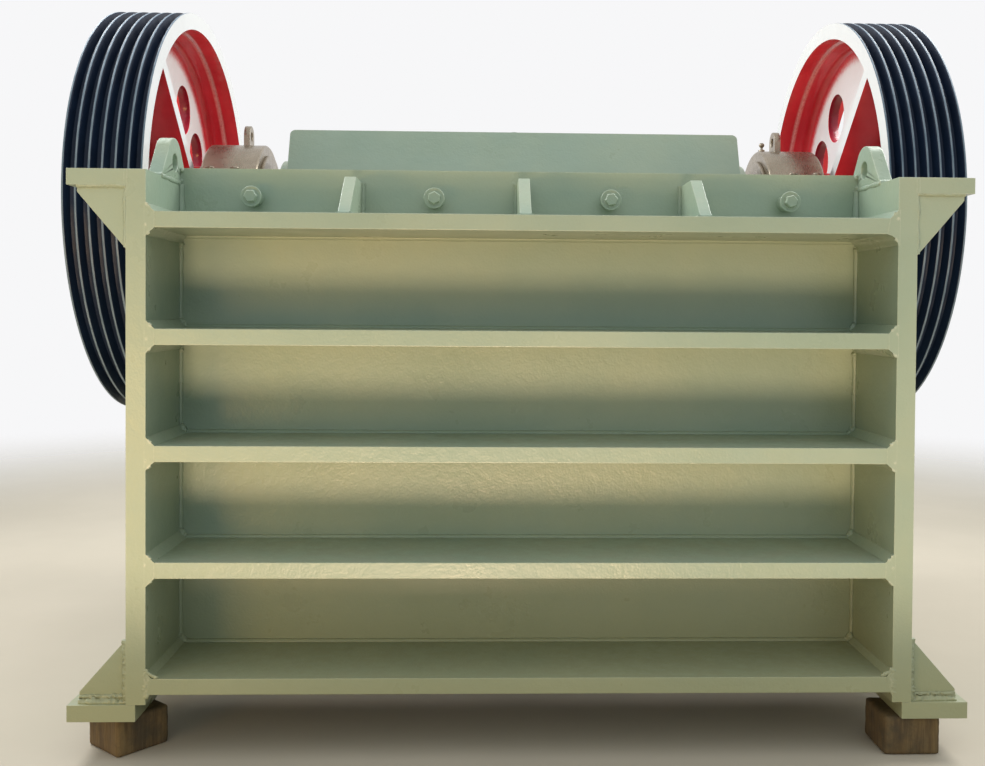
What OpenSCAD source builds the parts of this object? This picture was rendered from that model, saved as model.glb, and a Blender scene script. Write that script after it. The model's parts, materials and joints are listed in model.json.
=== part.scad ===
// Jaw crusher for fine crushing, with a feed mouth about 250 mm by 1200 mm.
// The ribbed front wall faces -Y, the wheels turn about an axis along X, and +Z is up.
// The origin is on the ground, under the middle of the machine.
// Heights and distances below are measured from the foot and the front edge of the side plates.

/* [Frame] */
// Width over the two side plates
frame_w = 1320; // [1200:10:1500]
// Thickness of a side plate
side_t = 33; // [25:1:45]
// Height of a side plate
side_h = 889; // [850:1:980]
// Length of a side plate, front to rear
side_len = 1260; // [1240:10:1340]
// Height of a side plate at its rear edge
side_rear_h = 470; // [420:10:560]
// Distance from the front edge to where the top starts to slope down
side_top_len = 1010; // [1005:5:1060]
// Depth of the bays between the ribs, from the ribs' front edges to the wall
wall_recess = 200; // [180:1:220]
// Thickness of the front wall
wall_t = 35; // [25:1:45]
// How far the front wall stands above the side plates
wall_over = 28; // [10:1:60]

/* [Front ribs] */
// Number of ribs across the front wall
rib_count = 5; // [4:1:5]
// Thickness of a rib
rib_t = 27; // [20:1:32]
// Distance of the top rib's upper face below the top of the side plates
rib_top_drop = 69; // [60:1:80]
// Height of the lowest rib's underside
rib_first = 17; // [5:1:22]
// Thickness of the upright stiffeners on the top rib
stiffener_t = 20; // [12:1:30]
// Distance of the outer stiffeners from the middle
stiffener_x = 305; // [250:5:340]
// Height of the stiffeners' front end above the top rib
stiffener_nose = 3; // [0:1:20]
// Distance of the stiffeners' top below the top of the wall
stiffener_drop = 13; // [0:1:40]

/* [Bolts of the upper liner] */
// Distance of the outer bolts from the side plates
bolt_side = 136; // [110:1:180]
// Distance of the inner bolts from the middle
bolt_inner_x = 161; // [120:1:220]
// Distance of the bolts below the top of the wall
bolt_drop = 54; // [44:1:60]
// Radius of the bolts
bolt_r = 9; // [8:1:10]
// Distance across the flats of the bolt heads
bolt_af = 27; // [24:1:34]
// Height of the bolt heads
bolt_head_h = 13; // [10:1:18]
// Radius of the washers under the bolt heads
washer_r = 21; // [18:1:24]
// Thickness of those washers
washer_h = 5; // [3:1:8]
// Radius of the round bosses between the wall and the washers
boss_r = 18; // [14:1:22]
// Height of those bosses
boss_h = 32; // [10:1:45]

/* [Top flanges] */
// How far a top flange reaches out from the side plate
flange_out = 97; // [80:1:110]
// Thickness of a top flange
flange_t = 27; // [20:1:35]
// Length of a top flange, front to rear
flange_len = 205; // [150:5:225]
// Height of the gusset under a top flange
flange_gusset_h = 106; // [80:1:140]
// Height of the gusset's nose
flange_gusset_nose = 11; // [6:1:20]
// Thickness of the gussets
gusset_t = 20; // [12:1:25]
// Distance of a gusset's nose from the edge of its flange
gusset_back = 16; // [8:1:25]

/* [Lifting lugs] */
// Distance of a lug's front end behind the front edges
lug_y = 90; // [70:1:105]
// Length of a lug at its foot
lug_len = 154; // [130:2:170]
// Thickness of a lug
lug_t = 24; // [18:1:30]
// Height of a lug's straight foot
lug_foot = 5; // [2:1:10]
// Height of a lug's hole above the side plate
lug_hole_z = 33; // [28:1:46]
// Radius of a lug's hole
lug_hole_r = 16; // [12:1:18]
// Radius of a lug's round top
lug_eye_r = 44; // [36:1:50]

/* [Feet] */
// Thickness of a foot plate
foot_t = 28; // [20:1:35]
// How far a foot plate reaches out from the side plate
foot_out = 97; // [80:1:110]
// How far a foot plate reaches in under the side plate
foot_under = 16; // [12:1:24]
// Length of a foot plate
foot_len = 1260; // [1160:10:1320]
// Height of the foot gussets
foot_gusset_h = 110; // [80:1:140]
// Height of a foot gusset's nose
foot_gusset_nose = 18; // [8:1:24]
// Distance of the front anchor holes from the front edge
anchor_front_y = 190; // [180:5:230]
// Distance between the front and rear anchor holes
anchor_span = 880; // [740:10:900]
// Radius of the anchor holes
anchor_r = 17; // [12:1:20]

/* [Support blocks] */
// Height of the timber blocks
block_h = 66; // [40:1:100]
// Length of a block's sides
block_side = 98; // [80:1:110]
// Distance of the blocks' middles inside the feet's outer edges
block_in = 91; // [80:1:110]
// Distance of the blocks from the ends of the feet
block_end = 8; // [0:1:40]
// Turn of the left blocks about the upright axis, in degrees
block_turn = 48; // [0:1:60]

/* [Shaft and bearings] */
// Distance of the shaft's axis behind the front edges
axis_y = 780; // [770:1:790]
// Height of the shaft's axis above the top of the side plates
axis_over = -4; // [-8:1:8]
// Throw of the eccentric
throw = 10; // [6:1:14]
// Radius of the shaft's main journals
journal_r = 64; // [55:1:68]
// Radius of the eccentric between them
eccentric_r = 80; // [78:1:84]
// Radius of the wheel seats
wheel_seat_r = 54; // [44:1:56]
// Outer radius of the bearing housings
housing_r = 162; // [155:1:166]
// Length of a bearing housing along the shaft
housing_w = 128; // [120:1:132]
// How far a housing stands out from the outer face of its side plate
housing_reach = 50; // [46:1:54]
// Width of the bevel round a housing's ends
housing_bevel = 4; // [1:1:8]
// Outer radius of the roller bearings
bearing_r = 120; // [105:1:125]
// Radius of the round covers on a housing's ends
cover_r = 138; // [130:1:145]
// Thickness of those covers
cover_t = 8; // [5:1:9]
// Thickness of a housing's ears
ear_t = 52; // [40:1:60]
// Reach of the ears from the shaft's axis
ear_reach = 220; // [215:1:224]
// Distance of the cap bolts from the shaft's axis
cap_bolt_y = 192; // [188:1:196]
// Distance between the two cap bolts of an ear
cap_bolt_pitch = 54; // [50:1:70]
// Radius of the cap bolts
cap_bolt_r = 13; // [10:1:14]
// Distance across the flats of the cap bolts' nuts
cap_nut_af = 38; // [34:1:42]
// Height of those nuts
cap_nut_h = 22; // [16:1:26]
// Length of bolt that stands out of those nuts
cap_bolt_end = 13; // [6:1:20]
// Height of the seat gussets under the ears
seat_gusset_h = 120; // [90:5:160]

/* [Lifting eyes on the bearing caps] */
// Distance of the eyes from the housings' middles, towards the middle of the machine
eye_shift = 16; // [8:1:24]
// Thickness of an eye
eye_t = 14; // [10:1:18]
// Radius of an eye's round top
eye_r = 25; // [20:1:30]
// Radius of an eye's hole
eye_hole_r = 11; // [8:1:14]
// Height of an eye's hole above the cap
eye_z = 22; // [18:1:28]

/* [Wheels] */
// Radius of a wheel
wheel_r = 458; // [440:1:470]
// Width of a wheel's rim
wheel_w = 156; // [154:1:170]
// Gap between a wheel's inner face and the outer face of the side plate
wheel_gap = 76; // [70:1:100]
// Number of V-belt grooves
groove_count = 6; // [4:1:6]
// Distance from groove to groove
groove_pitch = 25.5; // [24:0.5:25.5]
// Depth of a groove
groove_h = 19; // [14:1:22]
// Width of a groove at the rim
groove_top = 20; // [16:1:22]
// Width of a groove at its root
groove_root = 8; // [5:1:11]
// Thickness of the rim at its inner edge
rim_t = 36; // [32:1:48]
// Depth of the step inside the rim
rim_step_z = 37; // [25:1:45]
// Height of that step
rim_step_h = 6; // [2:1:10]
// Depth of the web behind the rim's inner face
web_depth = 84; // [70:1:95]
// Thickness of the web
web_t = 26; // [18:1:34]
// Radius of the fillets between web, rim and hub
web_fillet = 20; // [10:1:24]
// Outer radius of the hub
hub_r = 112; // [100:1:125]
// Thickness of the two ribs on the web
web_rib_t = 27; // [18:1:34]
// Direction of the upper web rib above the front, in degrees
web_rib_angle = 42; // [0:1:90]
// Number of round holes between the ribs, on each side of them
web_hole_count = 3; // [1:1:3]
// Radius of the round holes in the web
web_hole_r = 60; // [50:1:64]
// Distance of the round holes from the shaft's axis
web_hole_at = 296; // [270:1:300]
// Angle from hole to hole, in degrees
web_hole_step = 30; // [27:1:36]
// Angle from a rib to the middle one of the next holes, in degrees
web_hole_turn = 103; // [85:1:105]
// Radius of the round plates on the ends of the shaft
end_plate_r = 84; // [70:1:95]
// Thickness of those plates
end_plate_t = 14; // [8:1:20]

/* [Jaws] */
// Play between the ends of the jaw plates and the cheek plates
jaw_play = 8; // [6:1:20]
// Thickness of the jaw plates behind the teeth
jaw_back_t = 40; // [30:1:46]
// Height of the teeth
tooth_h = 22; // [14:1:26]
// Distance from tooth to tooth
tooth_pitch = 54; // [40:1:66]
// Width of a tooth at its tip
tooth_tip = 14; // [8:1:20]
// Width of a tooth at its root
tooth_root = 40; // [32:1:40]
// Height of the jaws' lower edge
jaw_bottom = 62; // [50:1:90]
// Distance of the jaws' upper edge below the top of the side plates
jaw_drop = 161; // [157:1:190]
// Feed gap between the jaw plates at the top
feed_gap = 250; // [240:1:255]
// Discharge gap between the jaw plates at the bottom
discharge_gap = 42; // [30:1:60]
// Thickness of the cheek plates
cheek_t = 25; // [15:1:27]
// Thickness of the upper liner inside the front wall
liner_t = 24; // [16:1:34]

/* [Pitman] */
// Outer radius of the pitman's barrel
barrel_r = 136; // [130:1:140]
// Gap between the ends of the barrel and the bearing covers
barrel_play = 34; // [24:1:70]
// Thickness of the pitman's front plate
pitman_plate_t = 46; // [36:1:56]
// Number of ribs behind the pitman's front plate
pitman_rib_count = 6; // [4:1:8]
// Thickness of those ribs
pitman_rib_t = 34; // [22:1:40]
// Depth of the pitman's foot behind the jaw plate
pitman_foot_d = 130; // [110:5:150]
// Height of the pitman's foot
pitman_foot_h = 130; // [110:5:150]
// How far the heel over the foot stands out behind it
pitman_heel = 20; // [10:1:30]
// How far the ends of the pitman's foot stay inside the barrel's ends
pitman_foot_in = 90; // [70:5:140]
// How far the pitman ends above the jaws' lower edge
pitman_short = 10; // [4:1:16]
// Radius of the lifting eye on the barrel
barrel_eye_r = 38; // [30:1:45]
// Radius of that eye's hole
barrel_eye_hole_r = 16; // [12:1:20]
// Height of that eye's hole above the barrel
barrel_eye_z = 37; // [30:1:42]
// Thickness of that eye
barrel_eye_t = 24; // [16:1:30]

/* [Guard plate] */
// How far the guard plate's ends stay inside the barrel's ends
guard_in = 23; // [10:1:70]
// Height of the guard plate's upper edge above the side plates
guard_over = 178; // [150:1:190]
// Distance of the guard plate's lower edge below the top of the side plates
guard_under = 141; // [110:1:147]
// Lean of the guard plate towards the rear, in degrees
guard_lean = 22; // [18:1:26]
// Thickness of the guard plate
guard_t = 16; // [10:1:20]
// Radius of the guard plate's upper corners
guard_corner = 12; // [4:1:40]

/* [Toggle and rear beam] */
// Diameter of the toggle plate's round edges
toggle_t = 40; // [36:1:50]
// Thickness of the toggle plate between them
toggle_web_t = 30; // [22:1:34]
// How far the toggle plate's ends stay inside the ends of the pitman's foot
toggle_in = 30; // [10:5:90]
// Height of the toggle's front end
toggle_front_z = 148; // [135:1:160]
// Height of the toggle's rear end
toggle_rear_z = 250; // [230:1:270]
// Height of the seat block behind the toggle
seat_h = 120; // [90:5:140]
// Depth of that block behind the toggle's end
seat_d = 46; // [36:1:60]
// Distance of the rear beam's front face from the front edges
beam_y = 1040; // [1010:5:1060]
// Depth of the rear beam
beam_d = 170; // [150:5:180]
// Height of the rear beam's underside
beam_z = 100; // [90:5:105]
// Height of the rear beam
beam_h = 310; // [290:5:330]
// Thickness of the rear beam's walls
beam_wall = 32; // [20:1:45]

/* [Tension rods] */
// Distance of the tension rods inside the barrel's ends
rod_in = 35; // [25:1:50]
// Radius of the tension rods
rod_r = 16; // [12:1:18]
// Thickness of the pitman's ears, which the rods pull on
rod_ear_t = 22; // [16:1:28]
// Distance of the ears' holes behind the pitman's heel
rod_ear_d = 46; // [44:1:60]
// Width of metal round those holes
rod_ear_wall = 16; // [12:1:20]
// Radius of the pins in those holes
rod_pin_r = 11; // [8:1:13]
// Thickness of a fork's two plates
fork_t = 12; // [8:1:14]
// Radius of the springs, to the middle of their wire
spring_r = 34; // [30:1:38]
// Radius of the springs' wire
spring_wire_r = 7; // [5:1:8]
// Length of the springs
spring_len = 96; // [80:2:120]
// Number of turns of the springs
spring_turns = 5; // [4:1:6]

/* [Hidden] */
$fn = 96;

// Play of a fitted bore, gap between seated pieces, and gap beside a moving piece
fit = 0.05;
gap = 0.3;
moving_gap = 6;

// How far shapes reach into each other within a solid, and cuts reach out of it
lap = 1;

sage = [0.60, 0.63, 0.53];
wheel_red = [0.70, 0.12, 0.16];
steel = [0.55, 0.56, 0.58];
manganese = [0.38, 0.37, 0.36];
timber = [0.50, 0.36, 0.22];

// Heights above the ground
foot_z = block_h;
side_z = foot_z + foot_t;
side_top = side_z + side_h;
wall_top = side_top + wall_over;
axis_z = side_top + axis_over;

// Distances across the machine
side_out = frame_w / 2;
side_in = side_out - side_t;
foot_edge = side_out + foot_out;
housing_out = side_out + housing_reach;
housing_in = housing_out - housing_w;
housing_x = housing_out - housing_w / 2;
wheel_x = side_out + wheel_gap;
wheel_out = wheel_x + wheel_w;
jaw_half_w = side_in - cheek_t - jaw_play;
barrel_half_w = housing_in - cover_t - barrel_play;
pitman_foot_half_w = barrel_half_w - pitman_foot_in;
guard_half_w = barrel_half_w - guard_in;
toggle_half_w = pitman_foot_half_w - toggle_in;
rod_x = barrel_half_w - rod_in;

// Behind the beam come a washer, the spring, a second washer and two nuts
rod_washer_t = 8;
rod_washer_r = spring_r + spring_wire_r + 4;
rod_nut_h = 2 * rod_r;
rod_nut_af = 3 * rod_r;
rod_tail = 14;
rod_end_y = beam_y + beam_d + 2 * rod_washer_t + spring_len + 2 * gap + rod_nut_h + rod_tail;
front_y = -rod_end_y / 2;

// Faces of the two jaws, at the tips of the teeth
jaw_t = jaw_back_t + tooth_h;
fixed_face_y = wall_recess + wall_t + gap + jaw_t;
jaw_low_z = side_z + jaw_bottom;
jaw_high_z = side_top - jaw_drop;
jaw_rise = jaw_high_z - jaw_low_z;
jaw_run = feed_gap - discharge_gap;
jaw_tilt = atan(jaw_run / jaw_rise);
jaw_len = jaw_rise / cos(jaw_tilt);
moving_low_y = fixed_face_y + discharge_gap;

// At rest the eccentric stands at its lowest point
eccentric_z = axis_z - throw;

module place() {
    translate([0, front_y, 0]) children();
}

// An outline in Y and Z, run along X from x0 by a width
module along_x(x0, width) {
    translate([x0, 0, 0]) rotate([90, 0, 90]) linear_extrude(width) children();
}

// An outline in X and Z, run along Y from y0 by a depth
module along_y(y0, depth) {
    translate([0, y0 + depth, 0]) rotate([90, 0, 0]) linear_extrude(depth) children();
}

// The same piece on the left as drawn on the right
module on_left() {
    mirror([1, 0, 0]) children();
}

module axial(x0, length, radius, y = axis_y, z = axis_z) {
    translate([x0, y, z]) rotate([0, 90, 0]) cylinder(r = radius, h = length);
}

// A hexagon with a distance across its flats
module hexagon(across_flats, height) {
    cylinder(r = across_flats / 2 / cos(30), h = height, $fn = 6);
}

// Points of a round stretch of an outline, from one angle to another
function arc(x, y, radius, from, to, steps = 6) = [
    for (i = [0 : steps])
        let (a = from + (to - from) * i / steps)
        [x + radius * cos(a), y + radius * sin(a)]
];

// Side plates

module seat_notch() {
    translate([axis_y, axis_z]) circle(r = housing_r + gap);
    translate([axis_y - ear_reach - gap, axis_z - ear_t - gap])
        square([2 * (ear_reach + gap), ear_t + housing_r]);
}

module side_plate() {
    along_x(side_in, side_t) difference() {
        polygon([
            [0, side_z], [side_len, side_z], [side_len, side_z + side_rear_h],
            [side_top_len, side_top], [0, side_top]
        ]);
        seat_notch();
    }
}

module side_plate_right() place() color(sage) side_plate();
module side_plate_left() place() color(sage) on_left() side_plate();

// Front wall with its ribs, stiffeners and bolts

module front_wall() place() color(sage) {
    difference() {
        translate([-side_in, wall_recess, side_z + rib_first])
            cube([2 * side_in, wall_t, wall_top - side_z - rib_first]);
        bolt_places() translate([0, 0, -wall_t * 2]) cylinder(r = bolt_r + gap, h = wall_t * 4);
    }
}

rib_pitch = (side_h - rib_first - rib_top_drop - rib_t) / (rib_count - 1);

function rib_z(i) = side_z + rib_first + (i - 1) * rib_pitch;

module front_rib(i) place() color(sage) {
    if (i <= rib_count)
        translate([-side_in, 0, rib_z(i)]) cube([2 * side_in, wall_recess, rib_t]);
}

module front_rib_1() front_rib(1);
module front_rib_2() front_rib(2);
module front_rib_3() front_rib(3);
module front_rib_4() front_rib(4);
module front_rib_5() front_rib(5);

top_rib_z = rib_z(rib_count) + rib_t;

module wall_stiffeners() place() color(sage) {
    for (x = [-stiffener_x, 0, stiffener_x])
        along_x(x - stiffener_t / 2, stiffener_t) polygon([
            [0, top_rib_z], [wall_recess, top_rib_z],
            [wall_recess, wall_top - stiffener_drop], [0, top_rib_z + stiffener_nose]
        ]);
}

// Places its children with +Z pointing out of the wall, towards the front
module bolt_places() {
    bolt_outer_x = side_in - bolt_side;
    for (x = [-bolt_outer_x, -bolt_inner_x, bolt_inner_x, bolt_outer_x])
        translate([x, wall_recess, wall_top - bolt_drop]) rotate([90, 0, 0]) children();
}

module liner_bolts() place() color(steel) {
    bolt_places() {
        cylinder(r = boss_r, h = boss_h);
        translate([0, 0, boss_h]) cylinder(r = washer_r, h = washer_h);
        translate([0, 0, boss_h + washer_h]) hexagon(bolt_af, bolt_head_h);
        translate([0, 0, -wall_t - liner_t]) cylinder(r = bolt_r, h = wall_t + liner_t);
    }
}

module upper_liner() place() color(manganese) {
    low_z = jaw_high_z + moving_gap;
    below_top = 12;
    difference() {
        translate([-jaw_half_w, wall_recess + wall_t, low_z])
            cube([2 * jaw_half_w, liner_t, wall_top - low_z - below_top]);
        bolt_places() translate([0, 0, -wall_t * 3]) cylinder(r = bolt_r + gap, h = wall_t * 4);
    }
}

// Flanges, gussets and lugs on the top of the frame

module top_flange() {
    translate([side_out, 0, side_top - flange_t]) cube([flange_out, flange_len, flange_t]);
}

module top_flange_right() place() color(sage) top_flange();
module top_flange_left() place() color(sage) on_left() top_flange();

module flange_gusset() {
    nose_x = side_out + flange_out - gusset_back;
    nose_z = side_top - flange_t;
    along_y(0, gusset_t) polygon([
        [side_out, nose_z], [nose_x, nose_z], [nose_x, nose_z - flange_gusset_nose],
        [side_out, nose_z - flange_gusset_h]
    ]);
}

module flange_gusset_right() place() color(sage) flange_gusset();
module flange_gusset_left() place() color(sage) on_left() flange_gusset();

module lifting_lug() {
    lug_mid = lug_y + lug_len / 2;
    lug_high = lug_hole_z + lug_eye_r;
    along_x(side_in, lug_t) difference() {
        intersection() {
            hull() {
                translate([lug_y, side_top]) square([lug_len, lug_foot]);
                translate([lug_mid, side_top + lug_hole_z]) circle(r = lug_eye_r);
            }
            translate([lug_y, side_top]) square([lug_len, lug_high]);
        }
        translate([lug_mid, side_top + lug_hole_z]) circle(r = lug_hole_r);
    }
}

module lifting_lug_right() place() color(sage) lifting_lug();
module lifting_lug_left() place() color(sage) on_left() lifting_lug();

// Feet

module foot_plate() {
    difference() {
        translate([side_out - foot_under, 0, foot_z])
            cube([foot_out + foot_under, foot_len, foot_t]);
        for (y = [anchor_front_y, anchor_front_y + anchor_span])
            translate([side_out + foot_out / 2, y, foot_z - lap])
                cylinder(r = anchor_r, h = foot_t + 2 * lap);
    }
}

module foot_plate_right() place() color(sage) foot_plate();
module foot_plate_left() place() color(sage) on_left() foot_plate();

module foot_gussets() {
    nose_x = foot_edge - gusset_back;
    for (y = [0, foot_len / 2 - gusset_t / 2, foot_len - gusset_t])
        along_y(y, gusset_t) polygon([
            [side_out, side_z], [nose_x, side_z], [nose_x, side_z + foot_gusset_nose],
            [side_out, side_z + foot_gusset_h]
        ]);
}

module foot_gussets_right() place() color(sage) foot_gussets();
module foot_gussets_left() place() color(sage) on_left() foot_gussets();

module support_block(turn) {
    rotate(turn) translate([-block_side / 2, -block_side / 2, 0]) cube([block_side, block_side, block_h]);
}

module support_blocks() place() color(timber) {
    block_x = foot_edge - block_in;
    turned = block_side * (cos(block_turn) + sin(block_turn)) / 2;
    for (y = [block_end + turned, foot_len - block_end - turned])
        translate([-block_x, y, 0]) support_block(block_turn);
    for (y = [block_end + block_side / 2, foot_len - block_end - block_side / 2])
        translate([block_x, y, 0]) support_block(0);
}

// Bearings

// Outline of a housing's shell in radius and length, bevelled round both ends
module housing_shell() {
    translate([housing_in, axis_y, axis_z]) rotate([0, 90, 0]) rotate_extrude() polygon([
        [bearing_r + gap, 0], [housing_r - housing_bevel, 0], [housing_r, housing_bevel],
        [housing_r, housing_w - housing_bevel], [housing_r - housing_bevel, housing_w],
        [bearing_r + gap, housing_w]
    ]);
}

module cap_bolt_places() {
    for (dx = [-cap_bolt_pitch / 2, cap_bolt_pitch / 2])
        for (dy = [-cap_bolt_y, cap_bolt_y])
            translate([housing_x + dx, axis_y + dy, axis_z]) children();
}

// One half of a housing, from the shaft's axis up or down
module housing_half(up) {
    keep_z = up ? axis_z : axis_z - housing_r;
    ear_z = up ? axis_z : axis_z - ear_t;
    ear_in = (housing_r + bearing_r) / 2;
    intersection() {
        housing_shell();
        translate([housing_in, axis_y - housing_r, keep_z]) cube([housing_w, 2 * housing_r, housing_r]);
    }
    difference() {
        for (y = [axis_y - ear_reach, axis_y + ear_in])
            translate([housing_in, y, ear_z]) cube([housing_w, ear_reach - ear_in, ear_t]);
        axial(housing_in - lap, housing_w + 2 * lap, ear_in);
        cap_bolt_places() translate([0, 0, -2 * ear_t]) cylinder(r = cap_bolt_r + gap, h = 4 * ear_t);
    }
}

module seat_gussets() {
    low_x = side_out + gusset_t;
    for (side = [-1, 1])
        along_y(axis_y + side * cap_bolt_y - gusset_t / 2, gusset_t) polygon([
            [side_out, axis_z - ear_t], [housing_out - gusset_back / 2, axis_z - ear_t],
            [low_x, axis_z - ear_t - seat_gusset_h], [side_out, axis_z - ear_t - seat_gusset_h]
        ]);
}

module bearing_seat() {
    housing_half(false);
    seat_gussets();
}

module cap_eye() {
    eye_foot_z = axis_z + sqrt(housing_r * housing_r - eye_r * eye_r) - lap;
    eye_top = axis_z + housing_r + eye_z;
    along_x(housing_x - eye_shift - eye_t / 2, eye_t) difference() {
        union() {
            translate([axis_y - eye_r, eye_foot_z]) square([2 * eye_r, eye_top - eye_foot_z]);
            translate([axis_y, eye_top]) circle(r = eye_r);
        }
        translate([axis_y, eye_top]) circle(r = eye_hole_r);
    }
}

module bearing_cap() {
    housing_half(true);
    cap_eye();
}

module bearing_seat_right() place() color(sage) bearing_seat();
module bearing_seat_left() place() color(sage) on_left() bearing_seat();
module bearing_cap_right() place() color(steel) bearing_cap();
module bearing_cap_left() place() color(steel) on_left() bearing_cap();

module main_bearing() {
    difference() {
        axial(housing_in, housing_w, bearing_r);
        axial(housing_in - lap, housing_w + 2 * lap, journal_r + fit);
    }
}

module main_bearing_right() place() color(steel) main_bearing();
module main_bearing_left() place() color(steel) on_left() main_bearing();

module bearing_covers() place() color(steel) {
    for (side = [0, 1]) mirror([side, 0, 0])
        for (x = [housing_in - cover_t, housing_out])
            difference() {
                axial(x, cover_t, cover_r);
                axial(x - lap, cover_t + 2 * lap, journal_r + moving_gap);
            }
}

module cap_bolts() place() color(steel) {
    for (side = [0, 1]) mirror([side, 0, 0]) cap_bolt_places() {
        translate([0, 0, -ear_t]) cylinder(r = cap_bolt_r, h = 2 * ear_t + cap_nut_h + cap_bolt_end);
        translate([0, 0, ear_t]) hexagon(cap_nut_af, cap_nut_h);
    }
}

// Shaft and wheels

// The eccentric ends inside the housings' covers, and the journals run out to the hubs
eccentric_half = housing_in - cover_t - moving_gap;

module eccentric_shaft() place() color(steel) {
    axial(-eccentric_half, 2 * eccentric_half, eccentric_r, axis_y, eccentric_z);
    for (side = [0, 1]) mirror([side, 0, 0]) {
        axial(eccentric_half, wheel_x - eccentric_half, journal_r);
        axial(wheel_x, wheel_w, wheel_seat_r);
    }
}

// Outline of the rim's grooves, in radius and distance from the wheel's inner face
function groove_points(i) =
    let (z = wheel_w / 2 + (i - (groove_count - 1) / 2) * groove_pitch)
    [
        [wheel_r, z - groove_top / 2], [wheel_r - groove_h, z - groove_root / 2],
        [wheel_r - groove_h, z + groove_root / 2], [wheel_r, z + groove_top / 2]
    ];

// The whole section of a wheel: hub, web and rim, with fillets beside the web
function wheel_section() =
    let (
        bore = wheel_seat_r + fit, rim_in = wheel_r - rim_t, rim_deep = rim_in - rim_step_h,
        f = web_fillet, web_back = web_depth + web_t
    )
    concat(
        [[bore, 0], [hub_r, 0]],
        arc(hub_r + f, web_depth - f, f, 180, 90),
        arc(rim_deep - f, web_depth - f, f, 90, 0),
        [[rim_deep, rim_step_z], [rim_in, rim_step_z - rim_step_h / 2], [rim_in, 0], [wheel_r, 0]],
        [for (i = [0 : groove_count - 1]) for (p = groove_points(i)) p],
        [[wheel_r, wheel_w], [rim_in, wheel_w]],
        arc(rim_in - f, web_back + f, f, 0, -90),
        arc(hub_r + f, web_back + f, f, -90, -180),
        [[hub_r, wheel_w], [bore, wheel_w]]
    );

// A wheel with its inner face on z = 0 and its axis along +Z
module wheel() {
    difference() {
        union() {
            rotate_extrude($fn = 180) polygon(wheel_section());
            difference() {
                intersection() {
                    translate([-wheel_r, -web_rib_t / 2, 0]) cube([2 * wheel_r, web_rib_t, web_depth + lap]);
                    cylinder(r = wheel_r - rim_t + lap, h = wheel_w);
                }
                translate([0, 0, -lap]) cylinder(r = hub_r - lap, h = wheel_w);
            }
        }
        for (side = [0, 180])
            for (i = [0 : web_hole_count - 1])
                rotate(side - web_hole_turn + (i - (web_hole_count - 1) / 2) * web_hole_step)
                    translate([web_hole_at, 0, web_depth / 2]) cylinder(r = web_hole_r, h = wheel_w);
    }
}

module placed_wheel() {
    translate([wheel_x, axis_y, axis_z]) rotate([0, 90, 0]) rotate(-90 - web_rib_angle) wheel();
}

module flywheel_right() place() color(wheel_red) placed_wheel();
module flywheel_left() place() color(wheel_red) on_left() placed_wheel();

module shaft_end_plates() place() color(steel) {
    bolt_count = 3;
    for (side = [0, 1]) mirror([side, 0, 0]) translate([wheel_out, axis_y, axis_z]) rotate([0, 90, 0]) {
        cylinder(r = end_plate_r, h = end_plate_t);
        for (i = [0 : bolt_count - 1])
            rotate(i * 360 / bolt_count) translate([wheel_seat_r / 2, 0, end_plate_t])
                hexagon(bolt_af, bolt_head_h);
    }
}

// Jaws

// Outline of a jaw plate in X and Y, teeth towards +Y, with its back on y = 0
function tooth_points(x) = [
    [x - tooth_root / 2, jaw_back_t], [x - tooth_tip / 2, jaw_t],
    [x + tooth_tip / 2, jaw_t], [x + tooth_root / 2, jaw_back_t]
];

module jaw_plate(length, shift) {
    count = floor((2 * jaw_half_w - 2 * tooth_pitch) / tooth_pitch) + shift;
    points = [
        for (i = [0 : count - 1])
            for (p = tooth_points((i - (count - 1) / 2) * tooth_pitch)) p
    ];
    linear_extrude(length) polygon(concat(
        [[-jaw_half_w, 0], [-jaw_half_w, jaw_back_t]], points, [[jaw_half_w, jaw_back_t], [jaw_half_w, 0]]
    ));
}

module fixed_jaw_plate() place() color(manganese)
    translate([0, wall_recess + wall_t, jaw_low_z]) jaw_plate(jaw_rise, 0);

module moving_jaw() {
    translate([0, moving_low_y, jaw_low_z]) rotate([-jaw_tilt, 0, 0])
        translate([0, jaw_t, 0]) rotate(180) jaw_plate(jaw_len, 1);
}

module moving_jaw_plate() place() color(manganese) moving_jaw();

module cheek_plate() {
    low_y = wall_recess + wall_t + gap;
    along_x(side_in - cheek_t, cheek_t) polygon([
        [low_y, jaw_low_z], [moving_low_y + jaw_back_t, jaw_low_z],
        [moving_low_y + jaw_run + jaw_back_t, jaw_high_z], [low_y, jaw_high_z]
    ]);
}

module cheek_plate_right() place() color(manganese) cheek_plate();
module cheek_plate_left() place() color(manganese) on_left() cheek_plate();

// Pitman: a barrel over a plate that carries the moving jaw, with ribs behind it

// Y of the pitman's front plate at a height
function pitman_front(z) = moving_low_y + jaw_t / cos(jaw_tilt) + gap + (z - jaw_low_z) * tan(jaw_tilt);

pitman_low_z = jaw_low_z + pitman_short;
pitman_neck_z = axis_z - housing_r - throw - 2 * moving_gap;
pitman_foot_y = pitman_front(pitman_low_z);
pitman_heel_y = pitman_foot_y + pitman_foot_d + pitman_heel;
pitman_heel_z = pitman_low_z + pitman_foot_h;

// A stretch of the front plate between two heights
module pitman_plate(half_w, low_z, high_z) {
    along_x(-half_w, 2 * half_w) polygon([
        [pitman_front(low_z), low_z], [pitman_front(low_z) + pitman_plate_t, low_z],
        [pitman_front(high_z) + pitman_plate_t, high_z], [pitman_front(high_z), high_z]
    ]);
}

module pitman_rib(x) {
    along_x(x, pitman_rib_t) polygon([
        [pitman_foot_y + lap, pitman_low_z], [pitman_foot_y + pitman_foot_d, pitman_low_z],
        [pitman_heel_y, pitman_heel_z],
        [axis_y + barrel_r * cos(30), eccentric_z - barrel_r * sin(30)], [axis_y, eccentric_z],
        [pitman_front(pitman_neck_z) + lap, pitman_neck_z]
    ]);
}

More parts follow.
